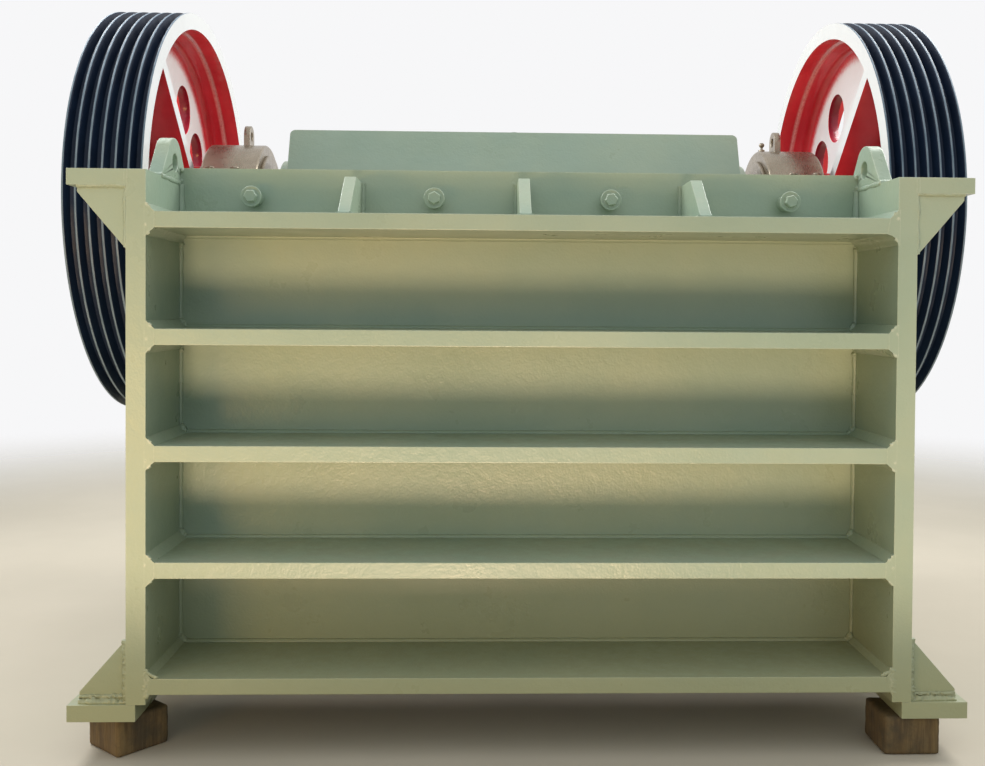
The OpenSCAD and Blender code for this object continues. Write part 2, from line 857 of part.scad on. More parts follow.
module pitman_foot() {
    along_x(-pitman_foot_half_w, 2 * pitman_foot_half_w) polygon([
        [pitman_foot_y + lap, pitman_low_z], [pitman_foot_y + pitman_foot_d, pitman_low_z],
        [pitman_heel_y, pitman_heel_z], [pitman_foot_y + pitman_foot_d / 2, pitman_heel_z]
    ]);
}

module barrel_eye() {
    eye_top = eccentric_z + barrel_r + barrel_eye_z;
    barrel_eye_foot = sqrt(barrel_r * barrel_r - barrel_eye_t * barrel_eye_t / 4) - lap;
    along_y(axis_y - barrel_eye_t / 2, barrel_eye_t) difference() {
        union() {
            translate([-barrel_eye_r, eccentric_z + barrel_eye_foot])
                square([2 * barrel_eye_r, barrel_r + barrel_eye_z - barrel_eye_foot]);
            translate([0, eye_top]) circle(r = barrel_eye_r);
        }
        translate([0, eye_top]) circle(r = barrel_eye_hole_r);
    }
}

// The rods' pins keep a clearance from the ears' holes all round the pitman's path
rod_pin_y = pitman_heel_y + rod_ear_d;
rod_pin_z = side_z + toggle_front_z;
rod_ear_hole_r = rod_pin_r + throw + moving_gap;
rod_ear_r = rod_ear_hole_r + rod_ear_wall;

module rod_ear() {
    root_y = pitman_front(rod_pin_z - throw + rod_ear_r) + lap;
    along_x(rod_x - rod_ear_t / 2, rod_ear_t) difference() {
        union() {
            translate([root_y, rod_pin_z - throw - rod_ear_r])
                square([rod_pin_y - root_y, 2 * rod_ear_r]);
            translate([rod_pin_y, rod_pin_z - throw]) circle(r = rod_ear_r);
        }
        translate([rod_pin_y, rod_pin_z - throw]) circle(r = rod_ear_hole_r);
    }
}

module pitman() place() color(sage) {
    difference() {
        union() {
            axial(-barrel_half_w, 2 * barrel_half_w, barrel_r, axis_y, eccentric_z);
            pitman_plate(jaw_half_w, pitman_low_z, pitman_neck_z);
            pitman_plate(barrel_half_w, pitman_neck_z - lap, eccentric_z - barrel_r / 2);
            for (i = [0 : pitman_rib_count - 1])
                pitman_rib(-barrel_half_w + (2 * barrel_half_w - pitman_rib_t) * i / (pitman_rib_count - 1));
            pitman_foot();
            for (side = [0, 1]) mirror([side, 0, 0]) rod_ear();
        }
        axial(-barrel_half_w - lap, 2 * (barrel_half_w + lap), eccentric_r + fit, axis_y, eccentric_z);
    }
    barrel_eye();
}

// The guard leans against the barrel, and is drawn flat before it is tipped back
module guard_plate() place() color(sage) {
    touch = [axis_y - (barrel_r + gap) * cos(guard_lean), eccentric_z + (barrel_r + gap) * sin(guard_lean)];
    above = (side_top + guard_over - touch[1]) / cos(guard_lean);
    below = (touch[1] - side_top + guard_under) / cos(guard_lean);
    inner_w = 2 * (guard_half_w - guard_corner);
    translate([0, touch[0], touch[1]]) rotate([-guard_lean, 0, 0]) along_y(-guard_t, guard_t) union() {
        translate([-guard_half_w, -below]) square([2 * guard_half_w, below + above - guard_corner]);
        translate([-inner_w / 2, -below]) square([inner_w, below + above]);
        for (side = [-1, 1])
            translate([side * inner_w / 2, above - guard_corner]) circle(r = guard_corner);
    }
}

// Toggle, rear beam and tension rods

toggle_rear_y = beam_y - seat_d;
toggle_front_y = pitman_heel_y + throw + moving_gap;

module toggle_plate() place() color(steel) {
    rise = toggle_rear_z - toggle_front_z;
    run = toggle_rear_y - toggle_front_y - toggle_t;
    along_x(-toggle_half_w, 2 * toggle_half_w)
        translate([toggle_front_y + toggle_t / 2, side_z + toggle_front_z]) {
            circle(r = toggle_t / 2);
            translate([run, rise]) circle(r = toggle_t / 2);
            rotate(atan(rise / run)) translate([0, -toggle_web_t / 2])
                square([norm([run, rise]), toggle_web_t]);
        }
}

module toggle_seat() place() color(steel) {
    along_x(-toggle_half_w, 2 * toggle_half_w) difference() {
        translate([toggle_rear_y - toggle_t / 2, side_z + toggle_rear_z - seat_h / 2])
            square([seat_d + toggle_t / 2, seat_h]);
        translate([toggle_rear_y - toggle_t / 2, side_z + toggle_rear_z]) circle(r = toggle_t / 2 + gap);
    }
}

module rear_beam() place() color(sage) {
    difference() {
        translate([-side_in, beam_y, side_z + beam_z]) cube([2 * side_in, beam_d, beam_h]);
        translate([-side_in - lap, beam_y + beam_wall, side_z + beam_z + beam_wall / 2])
            cube([2 * (side_in + lap), beam_d - 2 * beam_wall, beam_h - beam_wall]);
        for (side = [-1, 1])
            translate([side * rod_x, beam_y - lap, rod_pin_z])
                rotate([-90, 0, 0]) cylinder(r = rod_r + gap, h = beam_d + 2 * lap);
    }
}

// A rod along +Z: fork and pin at z = 0, then the beam, the washers and the nut
module tension_rod() {
    beam_at = beam_y + beam_d - rod_pin_y;
    nut_at = beam_at + 2 * rod_washer_t + spring_len + 2 * gap;
    fork_in = rod_ear_t / 2 + moving_gap;
    fork_back = rod_ear_r + throw + moving_gap;
    fork_r = 2 * rod_pin_r;
    translate([0, 0, fork_back]) cylinder(r = rod_r, h = nut_at + rod_nut_h + rod_tail - fork_back);
    translate([-fork_in - fork_t, -fork_r, fork_back]) cube([2 * (fork_in + fork_t), 2 * fork_r, fork_t]);
    for (side = [0, 1]) mirror([side, 0, 0]) translate([fork_in, 0, 0]) {
        rotate([0, 90, 0]) cylinder(r = fork_r, h = fork_t);
        translate([0, -fork_r, 0]) cube([fork_t, 2 * fork_r, fork_back + fork_t]);
    }
    translate([-fork_in - lap, 0, 0]) rotate([0, 90, 0]) cylinder(r = rod_pin_r, h = 2 * (fork_in + lap));
    for (z = [beam_at, beam_at + rod_washer_t + spring_len + 2 * gap])
        translate([0, 0, z]) cylinder(r = rod_washer_r, h = rod_washer_t);
    translate([0, 0, nut_at]) hexagon(rod_nut_af, rod_nut_h);
}

module rod_places(y) {
    for (side = [-1, 1])
        translate([side * rod_x, y, rod_pin_z]) rotate([-90, 0, 0]) children();
}

module tension_rods() place() color(steel) rod_places(rod_pin_y) tension_rod();

// A coil of round wire along +Z, closed at both ends
module coil(radius, wire_r, length, turns) {
    sides = 8;
    rings = 14 * turns;
    rise = length - 2 * wire_r;
    points = [
        for (i = [0 : rings]) for (j = [0 : sides - 1])
            let (a = 360 * turns * i / rings, b = 360 * j / sides, r = radius + wire_r * cos(b))
            [r * cos(a), r * sin(a), wire_r + rise * i / rings + wire_r * sin(b)]
    ];
    walls = [
        for (i = [0 : rings - 1]) for (j = [0 : sides - 1])
            let (k = (j + 1) % sides, p = i * sides, q = p + sides)
            for (face = [[p + j, q + j, q + k], [p + j, q + k, p + k]]) face
    ];
    first = [for (j = [0 : sides - 1]) j];
    last = [for (j = [0 : sides - 1]) rings * sides + sides - 1 - j];
    polyhedron(points = points, faces = concat(walls, [first, last]));
}

module tension_springs() place() color(steel)
    rod_places(beam_y + beam_d + rod_washer_t + gap)
        coil(spring_r, spring_wire_r, spring_len, spring_turns);

side_plate_left();
side_plate_right();
front_wall();
front_rib_1();
front_rib_2();
front_rib_3();
front_rib_4();
front_rib_5();
wall_stiffeners();
liner_bolts();
upper_liner();
top_flange_left();
top_flange_right();
flange_gusset_left();
flange_gusset_right();
lifting_lug_left();
lifting_lug_right();
foot_plate_left();
foot_plate_right();
foot_gussets_left();
foot_gussets_right();
support_blocks();
bearing_seat_left();
bearing_seat_right();
bearing_cap_left();
bearing_cap_right();
main_bearing_left();
main_bearing_right();
bearing_covers();
cap_bolts();
eccentric_shaft();
flywheel_left();
flywheel_right();
shaft_end_plates();
fixed_jaw_plate();
cheek_plate_left();
cheek_plate_right();
pitman();
moving_jaw_plate();
guard_plate();
toggle_plate();
rear_beam();
toggle_seat();
tension_rods();
tension_springs();
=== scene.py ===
"""Looks of the jaw crusher: enamel, machined steel, grooved wheels, weld beads and timber blocks."""

import json
import math
import random

import bmesh
import bpy
from mathutils import Matrix, Vector, noise


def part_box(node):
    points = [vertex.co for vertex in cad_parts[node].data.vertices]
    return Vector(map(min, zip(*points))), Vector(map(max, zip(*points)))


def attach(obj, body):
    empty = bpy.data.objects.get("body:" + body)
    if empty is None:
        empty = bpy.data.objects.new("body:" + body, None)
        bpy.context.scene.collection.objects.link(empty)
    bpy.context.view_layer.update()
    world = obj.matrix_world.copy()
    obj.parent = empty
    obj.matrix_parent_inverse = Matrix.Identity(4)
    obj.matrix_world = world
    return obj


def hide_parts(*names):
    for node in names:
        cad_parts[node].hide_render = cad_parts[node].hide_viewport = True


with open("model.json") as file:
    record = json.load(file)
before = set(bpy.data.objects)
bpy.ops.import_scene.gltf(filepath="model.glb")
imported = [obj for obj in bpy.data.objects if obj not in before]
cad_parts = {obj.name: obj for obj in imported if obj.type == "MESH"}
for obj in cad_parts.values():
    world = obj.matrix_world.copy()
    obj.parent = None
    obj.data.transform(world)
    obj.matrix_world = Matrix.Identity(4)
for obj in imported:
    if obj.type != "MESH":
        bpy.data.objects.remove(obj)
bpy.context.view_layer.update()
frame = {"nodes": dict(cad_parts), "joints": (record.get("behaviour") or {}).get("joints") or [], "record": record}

MM = 0.001
IMAGE_W, IMAGE_H = 985, 766
random.seed(7)


# Shader nodes

class Shader:
    """A material with a Principled shader, and short ways to add its nodes."""

    def __init__(self, name):
        self.material = bpy.data.materials.new(name)
        self.material.use_nodes = True
        self.tree = self.material.node_tree
        self.surface = self.tree.nodes["Principled BSDF"]
        self.coords = self.add("ShaderNodeTexCoord")

    def add(self, kind, **settings):
        node = self.tree.nodes.new(kind)
        for name, value in settings.items():
            setattr(node, name, value)
        return node

    def plug(self, value, socket):
        """Sets a socket to a number or colour, or links an output to it."""
        if isinstance(value, bpy.types.NodeSocket):
            self.tree.links.new(value, socket)
        elif isinstance(value, tuple) and len(value) == 3 and len(socket.default_value) == 4:
            socket.default_value = (*value, 1)
        else:
            socket.default_value = value

    def set(self, **values):
        for name, value in values.items():
            self.plug(value, self.surface.inputs[name.replace("_", " ")])

    def math(self, operation, *values):
        node = self.add("ShaderNodeMath", operation=operation)
        for value, socket in zip(values, node.inputs):
            self.plug(value, socket)
        return node.outputs[0]

    def stretched(self, stretch):
        node = self.add("ShaderNodeMapping")
        self.plug(self.coords.outputs["Object"], node.inputs["Vector"])
        node.inputs["Scale"].default_value = stretch
        return node.outputs[0]

    def split(self, output):
        """The X, Y and Z of a texture coordinate."""
        node = self.add("ShaderNodeSeparateXYZ")
        self.plug(self.coords.outputs[output], node.inputs[0])
        return node.outputs

    def noise(self, scale, detail=3.0, roughness=0.5, stretch=None, distortion=0.0):
        node = self.add("ShaderNodeTexNoise")
        source = self.stretched(stretch) if stretch else self.coords.outputs["Object"]
        self.plug(source, node.inputs["Vector"])
        for name, value in (("Scale", scale), ("Detail", detail), ("Roughness", roughness),
                            ("Distortion", distortion)):
            node.inputs[name].default_value = value
        return node.outputs["Fac"]

    def step(self, value, low, high, out_low=0.0, out_high=1.0):
        """A smooth step of a value from low to high."""
        node = self.add("ShaderNodeMapRange", interpolation_type="SMOOTHSTEP")
        for name, number in (("From Min", low), ("From Max", high), ("To Min", out_low),
                             ("To Max", out_high)):
            node.inputs[name].default_value = number
        self.plug(value, node.inputs["Value"])
        return node.outputs["Result"]

    def mix(self, factor, a, b):
        node = self.add("ShaderNodeMix", data_type="RGBA")
        self.plug(factor, node.inputs["Factor"])
        self.plug(a, node.inputs[6])
        self.plug(b, node.inputs[7])
        return node.outputs[2]

    def bump(self, height, distance):
        node = self.add("ShaderNodeBump")
        node.inputs["Strength"].default_value = 1.0
        node.inputs["Distance"].default_value = distance
        self.plug(height, node.inputs["Height"])
        return node.outputs["Normal"]

    def edges(self, radius):
        """1 along the edges of a piece and 0 away from them."""
        rounded = self.add("ShaderNodeBevel", samples=4)
        rounded.inputs["Radius"].default_value = radius
        plain = self.add("ShaderNodeNewGeometry")
        dot = self.add("ShaderNodeVectorMath", operation="DOT_PRODUCT")
        self.plug(rounded.outputs[0], dot.inputs[0])
        self.plug(plain.outputs["Normal"], dot.inputs[1])
        return self.step(self.math("SUBTRACT", 1.0, dot.outputs["Value"]), 0.02, 0.25)


PAINTED_WARM_FROM, PAINTED_WARM_TO = 0.07, 0.34       # heights between which the painted warm low light and shade, a dark khaki tint, thins out


def sage_paint():
    """Sprayed enamel: slightly pebbled, with faint clouds, edges paled partly by wear and partly by a painted
    highlight, dust on top, and painted warm light and shade low down.
    """
    s = Shader("sage_enamel")
    clouds = s.noise(2.2, 4, 0.6)
    patches = s.noise(11, 4, 0.6)
    pebble = s.noise(240, 2, 0.55)
    waves = s.noise(60, 2, 0.5)
    specks = s.noise(900, 1, 0.5)
    colour = s.mix(s.step(clouds, 0.35, 0.68), (0.275, 0.350, 0.258), (0.340, 0.398, 0.285))
    colour = s.mix(s.step(patches, 0.3, 0.75, 0, 0.45), colour, (0.290, 0.372, 0.292))
    colour = s.mix(s.step(specks, 0.68, 0.80, 0, 0.2), colour, (0.62, 0.62, 0.52))
    # Paler edges: partly paint worn thin, partly a painted highlight along the edges
    worn_and_highlit_edges = s.math("MULTIPLY", s.edges(3 * MM), s.step(s.noise(160, 3, 0.7), 0.35, 0.7, 0.15, 0.75))
    colour = s.mix(worn_and_highlit_edges, colour, (0.58, 0.60, 0.48))
    upward = s.step(s.split("Normal")["Z"], 0.6, 0.95, 0, 0.35)
    dust = s.math("MULTIPLY", upward, s.step(s.noise(26, 5, 0.7), 0.35, 0.65))
    colour = s.mix(dust, colour, (0.40, 0.38, 0.29))
    # Painted warm light and shade: the colour turns a darker, yellower khaki towards the bottom
    painted_low_light = s.step(s.split("Object")["Z"], PAINTED_WARM_TO, PAINTED_WARM_FROM, 0, 0.62)
    colour = s.mix(painted_low_light, colour, (0.30, 0.272, 0.118))
    height = s.math("ADD", s.math("MULTIPLY", pebble, 0.5), waves)
    s.set(Base_Color=colour, Metallic=0.0,
          Roughness=s.math("ADD", s.step(patches, 0.3, 0.7, 0.27, 0.36), s.math("MULTIPLY", dust, 0.6)),
          Coat_Weight=0.08, Coat_Roughness=0.16, Specular_IOR_Level=0.4,
          Normal=s.bump(height, 0.6 * MM))
    return s.material


GROOVE_PITCH = 25.5 * MM


def wheel_paint(axis_y, axis_z, inner_x, rim_w, radius):
    """Red wheels with white inner faces and dark grooves. The zones go by the radius and by the
    distance from the wheel's inner face, so they turn with the wheel."""
    s = Shader("wheel_enamel")
    at = s.split("Object")
    dy = s.math("SUBTRACT", at["Y"], axis_y)
    dz = s.math("SUBTRACT", at["Z"], axis_z)
    r = s.math("SQRT", s.math("ADD", s.math("MULTIPLY", dy, dy), s.math("MULTIPLY", dz, dz)))
    depth = s.math("SUBTRACT", s.math("ABSOLUTE", at["X"]), inner_x)
    sideways = s.math("ABSOLUTE", s.split("Normal")["X"])
    spray = s.noise(140, 4, 0.75)
    clouds = s.noise(9, 4, 0.6)

    red = s.mix(s.step(clouds, 0.3, 0.7), (0.74, 0.036, 0.052), (0.62, 0.022, 0.034))
    white = s.mix(s.step(clouds, 0.35, 0.75, 0, 0.6), (0.78, 0.775, 0.76), (0.70, 0.69, 0.67))
    # Faces square to the axis are white, with red mist from the rim that thins out inwards
    flat = s.step(s.math("ADD", sideways, s.math("MULTIPLY", spray, 0.35)), 0.86, 1.12)
    mist = s.step(s.math("ADD", r, s.math("MULTIPLY", spray, 0.03)), radius - 0.072, radius - 0.040)
    ring = s.math("MAXIMUM", s.step(depth, 2 * MM, 1 * MM),
                  s.step(depth, rim_w - 2 * MM, rim_w - 1 * MM))
    on_web = s.math("MULTIPLY", flat, s.math("SUBTRACT", 1.0, mist))
    colour = s.mix(on_web, red, white)
    colour = s.mix(s.math("MULTIPLY", ring, s.step(sideways, 0.5, 0.8)), colour, white)
    # The ridge inside the rim gets a painted highlight in pale pink, and the walls of the holes get painted shade
    # in dark red
    painted_ridge_highlight = s.math("MULTIPLY", s.step(depth, 30 * MM, 36 * MM), s.step(depth, 45 * MM, 40 * MM))
    painted_ridge_highlight = s.math("MULTIPLY", painted_ridge_highlight, s.step(r, radius - 50 * MM, radius - 44 * MM))
    colour = s.mix(s.math("MULTIPLY", painted_ridge_highlight, s.step(spray, 0.3, 0.6, 0.3, 0.7)), colour, (0.86, 0.36, 0.33))
    # Painted shade: the walls of the web's holes are coloured dark
    painted_hole_shade = s.math("MULTIPLY", s.step(sideways, 0.4, 0.2), s.step(depth, 84.5 * MM, 86 * MM))
    painted_hole_shade = s.math("MULTIPLY", painted_hole_shade, s.step(r, radius - 76 * MM, radius - 82 * MM))
    colour = s.mix(s.math("MULTIPLY", painted_hole_shade, 0.8), colour, (0.16, 0.006, 0.022))
    # The grooved face
    outside = s.step(r, radius - 20.5 * MM, radius - 19.5 * MM)
    outside = s.math("MULTIPLY", outside, s.step(sideways, 0.995, 0.98))
    streaks = s.noise(30, 3, 0.6, stretch=(40, 1, 1))
    groove = s.mix(s.step(clouds, 0.3, 0.7), (0.004, 0.010, 0.026), (0.006, 0.015, 0.038))
    # The lands are paler and bluish grey: partly worn metal, partly a painted reflection of the sky
    land_wear_and_reflection = s.mix(s.step(streaks, 0.35, 0.7), (0.075, 0.120, 0.165), (0.190, 0.250, 0.310))
    across = s.math("DIVIDE", s.math("SUBTRACT", depth, rim_w / 2), GROOVE_PITCH)
    across = s.math("ABSOLUTE", s.math("SUBTRACT", across, s.math("ROUND", across)))
    on_land = s.math("MULTIPLY", s.step(r, radius - 1.0 * MM, radius - 0.2 * MM),
                     s.step(across, 2.4 * MM / GROOVE_PITCH, 1.2 * MM / GROOVE_PITCH))
    colour = s.mix(outside, colour, s.mix(on_land, groove, land_wear_and_reflection))
    height = s.math("ADD", s.noise(260, 2, 0.6), s.math("MULTIPLY", s.noise(55, 2, 0.5), 0.8))
    s.set(Base_Color=colour,
          Roughness=s.math("ADD", s.math("ADD", 0.24, s.math("MULTIPLY", outside, 0.12)),
                           s.math("MULTIPLY", s.noise(40, 4, 0.6), 0.16)),
          Coat_Weight=s.step(outside, 0.2, 0.8, 0.5, 0.0), Coat_Roughness=0.12,
          Specular_IOR_Level=0.2, Normal=s.bump(height, 0.35 * MM))
    return s.material


def bare_steel():
    """Turned and ground steel under a film of oil."""
    s = Shader("machined_steel")
    rings = s.noise(60, 4, 0.7, stretch=(14, 1, 1))
    stain = s.noise(7, 5, 0.65)
    colour = s.mix(s.step(stain, 0.3, 0.7), (0.28, 0.235, 0.175), (0.42, 0.36, 0.28))
    colour = s.mix(s.step(s.noise(48, 4, 0.7), 0.62, 0.78, 0, 0.3), colour, (0.24, 0.19, 0.13))
    s.set(Base_Color=colour, Metallic=0.85,
          Roughness=s.math("ADD", s.step(rings, 0.3, 0.7, 0.22, 0.36), s.step(stain, 0.4, 0.8, 0, 0.12)),
          Normal=s.bump(rings, 0.12 * MM))
    return s.material


def manganese_steel():
    """Cast wear plates: dark, pitted and matt, a little polished on the crests."""
    s = Shader("manganese_casting")
    pits = s.noise(120, 5, 0.7)
    skin = s.noise(18, 5, 0.65)
    colour = s.mix(s.step(skin, 0.3, 0.7), (0.070, 0.066, 0.062), (0.135, 0.125, 0.115))
    colour = s.mix(s.math("MULTIPLY", s.edges(5 * MM), 0.5), colour, (0.32, 0.31, 0.30))
    s.set(Base_Color=colour, Metallic=0.45, Roughness=s.step(pits, 0.3, 0.7, 0.45, 0.68),
          Normal=s.bump(s.math("ADD", pits, skin), 0.9 * MM))
    return s.material


def timber():
    """Old sawn softwood with upright grain, dark with dirt and oil."""
    s = Shader("sawn_timber")
    grain = s.noise(30, 5, 0.65, stretch=(1.5, 1.5, 0.28), distortion=0.5)
    fine = s.noise(150, 3, 0.6, stretch=(1.3, 1.3, 0.10))
    dirt = s.noise(16, 5, 0.7)
    colour = s.mix(s.step(grain, 0.32, 0.68), (0.068, 0.040, 0.012), (0.140, 0.090, 0.034))
    colour = s.mix(s.step(fine, 0.4, 0.65, 0, 0.4), colour, (0.180, 0.125, 0.052))
    colour = s.mix(s.step(dirt, 0.42, 0.7, 0, 0.7), colour, (0.034, 0.028, 0.016))
    height = s.math("ADD", s.math("MULTIPLY", fine, 0.6), grain)
    s.set(Base_Color=colour, Roughness=s.step(grain, 0.3, 0.7, 0.72, 0.9), Normal=s.bump(height, 1.2 * MM))
    return s.material


# Places taken from the frame

def levels(node, axis):
    """The distinct coordinates of a CAD node's points along an axis, in order."""
    found = sorted({round(v.co[axis], 4) for v in frame["nodes"][node].data.vertices})
    return [v for i, v in enumerate(found) if i == 0 or v - found[i - 1] > 0.5 * MM]


side_lo, side_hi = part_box("side_plate_right")
wall_lo, wall_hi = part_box("front_wall")
wheel_lo, wheel_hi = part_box("flywheel_right")
ribs = [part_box(f"front_rib_{i}") for i in (5, 4, 3, 2, 1)]        # from the top one down
axis = next(j for j in frame["joints"] if j["name"] == "shaft_spin")["pos_m"]
FRONT = side_lo.y
SIDE_IN = side_lo.x
SIDE_OUT = side_hi.x
TOP = side_hi.z

SAGE = sage_paint()
STEEL = bare_steel()
MANGANESE = manganese_steel()
TIMBER = timber()
WHEEL = wheel_paint(axis[1], axis[2], wheel_lo.x, wheel_hi.x - wheel_lo.x, (wheel_hi.z - wheel_lo.z) / 2)
FINISH = {"sage_paint": SAGE, "bare_steel": STEEL, "manganese_steel": MANGANESE, "timber": TIMBER,
          "wheel_paint": WHEEL}

for part in frame["record"]["subparts"]:
    cad = frame["nodes"][part["node"]]
    for holder in cad.material_slots:
        holder.material = FINISH[part["material_slot"]]



def round_edges(obj, width, harden):
    """A small bevel along the sharp edges of an object."""
    bevel = obj.modifiers.new("edge", "BEVEL")
    bevel.width = width
    bevel.segments = 2
    bevel.limit_method = "ANGLE"
    bevel.angle_limit = math.radians(28)
    bevel.use_clamp_overlap = True
    bevel.harden_normals = harden


ROUNDED = {  # edge radius in millimetres of the pieces with plain flat faces
    4.0: ["guard_plate"],
    1.6: ["front_rib_1", "front_rib_2", "front_rib_3", "front_rib_4", "front_rib_5", "lifting_lug_left",
          "lifting_lug_right", "rear_beam", "toggle_seat"],
    1.2: ["bearing_cap_left", "bearing_cap_right", "bearing_seat_left", "bearing_seat_right",
          "bearing_covers", "shaft_end_plates", "tension_rods"],
    0.6: ["flywheel_left", "flywheel_right"],
    0.8: ["side_plate_left", "side_plate_right", "top_flange_left", "top_flange_right",
          "foot_plate_left", "foot_plate_right"],
}
for radius_mm, names in ROUNDED.items():
    for name in names:
        cad = frame["nodes"][name]
        weld = cad.modifiers.new("join", "WELD")
        weld.merge_threshold = 0.01 * MM
        round_edges(cad, radius_mm * MM, harden=True)


def piece(name, points, faces, body, slot, smooth=True):
    """A new mesh that rides on a body and takes its finish from a slot."""
    mesh = bpy.data.meshes.new(name)
    mesh.from_pydata(points, [], faces)
    mesh.update()
    obj = bpy.data.objects.new(name, mesh)
    bpy.context.scene.collection.objects.link(obj)
    for polygon in mesh.polygons:
        polygon.use_smooth = smooth
    mesh.materials.append(FINISH[slot])
    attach(obj, body)
    return obj


def loose_parts(node):
    """Groups of a node's points, one for each of its solids."""
    mesh = frame["nodes"][node].data
    parent = list(range(len(mesh.vertices)))

    def root(i):
        while parent[i] != i:
            parent[i] = parent[parent[i]]
            i = parent[i]
        return i

    same = {}
    for vert in mesh.vertices:
        key = tuple(round(q, 5) for q in vert.co)
        parent[root(vert.index)] = root(same.setdefault(key, vert.index))
    for polygon in mesh.polygons:
        first = root(polygon.vertices[0])
        for i in polygon.vertices[1:]:
            parent[root(i)] = first
            first = root(first)
    groups = {}
    for vert in mesh.vertices:
        groups.setdefault(root(vert.index), []).append(vert.co.copy())
    return sorted(groups.values(), key=lambda g: [sum(p[i] for p in g) / len(g) for i in (0, 1)])


def convex_prism(outline, low, high, axis_at=1):
    """Points and faces of a plate: a convex outline, drawn out along one axis."""
    mid = [sum(q[i] for q in outline) / len(outline) for i in (0, 1)]
    ring = sorted(outline, key=lambda q: math.atan2(q[1] - mid[1], q[0] - mid[0]))
    count = len(ring)
    points = []
    for level in (low, high):
        for q in ring:
            p = [q[0], q[1]]
            p.insert(axis_at, level)
            points.append(Vector(p))
    faces = [(i, (i + 1) % count, count + (i + 1) % count, count + i) for i in range(count)]
    return points, faces + [tuple(reversed(range(count))), tuple(range(count, 2 * count))]


def plates(name, node, solids):
    """One piece of several solids, with small bevels, that stands for a CAD node."""
    points, faces = [], []
    for more, skin in solids:
        faces += [tuple(len(points) + i for i in face) for face in skin]
        points += more
    slot = next(p["material_slot"] for p in frame["record"]["subparts"] if p["node"] == node)
    obj = piece(name, points, faces, "frame", slot, smooth=False)
    bm = bmesh.new()
    bm.from_mesh(obj.data)
    bmesh.ops.recalc_face_normals(bm, faces=bm.faces)
    bm.to_mesh(obj.data)
    bm.free()
    round_edges(obj, 0.8 * MM, harden=False)
    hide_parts(node)


# Plates and bolts set as in the photo

X, Y, Z = Vector((1, 0, 0)), Vector((0, 1, 0)), Vector((0, 0, 1))
wall_front = wall_lo.y
st_lo, st_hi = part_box("wall_stiffeners")
STIFFENER_FRONT = FRONT + 19 * MM
STIFFENER_TOP = wall_hi.z - 24 * MM
STIFFENER_LEVEL = 93 * MM         # length of the level top, out from the wall
edges = levels("wall_stiffeners", 0)
plates("stiffener_plates", "wall_stiffeners", [
    convex_prism([(STIFFENER_FRONT, st_lo.z), (wall_front, st_lo.z), (wall_front, STIFFENER_TOP),
                  (wall_front - STIFFENER_LEVEL, STIFFENER_TOP), (STIFFENER_FRONT, st_lo.z + 3 * MM)],
                 x0, x1, 0)
    for x0, x1 in zip(edges[::2], edges[1::2])])

GUSSET_YS = {}
for kind, back in (("flange_gusset", 5 * MM), ("foot_gussets", 14 * MM)):
    for side in ("left", "right"):
        node = f"{kind}_{side}"
        groups = sorted(loose_parts(node), key=lambda g: min(p.y for p in g))
        solids, ys = [], []
        for i, group in enumerate(groups):
            low, high = min(p.y for p in group), max(p.y for p in group)
            shift = back if i == 0 else (-back if i == len(groups) - 1 else 0)
            outline = sorted({(round(p.x, 5), round(p.z, 5)) for p in group})
            solids.append(convex_prism(outline, low + shift, high + shift))
            ys += [low + shift, high + shift]
        GUSSET_YS[node] = ys
        plates(f"{kind}_plates_{side}", node, solids)


def turned(profile, sides=40, turn=0.0):
    """Points and faces of a solid of revolution about Z, from (radius, height) pairs."""
    points, faces = [], []
    angles = [turn + 2 * math.pi * j / sides for j in range(sides)]
    for r, z in profile:
        points += [Vector((r * math.cos(a), r * math.sin(a), z)) for a in angles]
    for i in range(len(profile) - 1):
        for j in range(sides):
            k = (j + 1) % sides
            faces.append((i * sides + j, i * sides + k, (i + 1) * sides + k, (i + 1) * sides + j))
    faces.append(tuple(reversed(range(sides))))
    faces.append(tuple((len(profile) - 1) * sides + j for j in range(sides)))
    return points, faces


def hexagon(across, low, high, turn):
    """A hexagon nut or head whose corners are cut round at the top."""
    corner = across / math.sqrt(3)
    return turned([(corner, low), (corner, high - 0.16 * across), (corner * 0.88, high)], 6, turn)


# The bolts of the upper liner, on their bosses
BOSS_R, BOSS_OUT = 16 * MM, 32 * MM
WASHER_R, WASHER_OUT = 19 * MM, 37 * MM
HEAD_ACROSS, HEAD_OUT = 21 * MM, 46 * MM
solids = []
for group, degrees in zip(loose_parts("liner_bolts"), (3, 25, 8, 14)):
    centre = Vector([(min(p[i] for p in group) + max(p[i] for p in group)) / 2 for i in range(3)])
    for points, faces in (turned([(BOSS_R, -0.5 * MM), (BOSS_R, BOSS_OUT)]),
                          turned([(WASHER_R - 0.8 * MM, BOSS_OUT - 0.4 * MM), (WASHER_R, BOSS_OUT + 0.6 * MM),
                                  (WASHER_R, WASHER_OUT - 1 * MM), (WASHER_R - 1 * MM, WASHER_OUT),
                                  (WASHER_R - 5 * MM, WASHER_OUT - 0.8 * MM)]),
                          hexagon(HEAD_ACROSS, WASHER_OUT - 2 * MM, HEAD_OUT, math.radians(degrees))):
        solids.append(([Vector((centre.x + p.x, wall_front - p.z, centre.z + p.y)) for p in points], faces))
plates("liner_bolt_heads", "liner_bolts", solids)

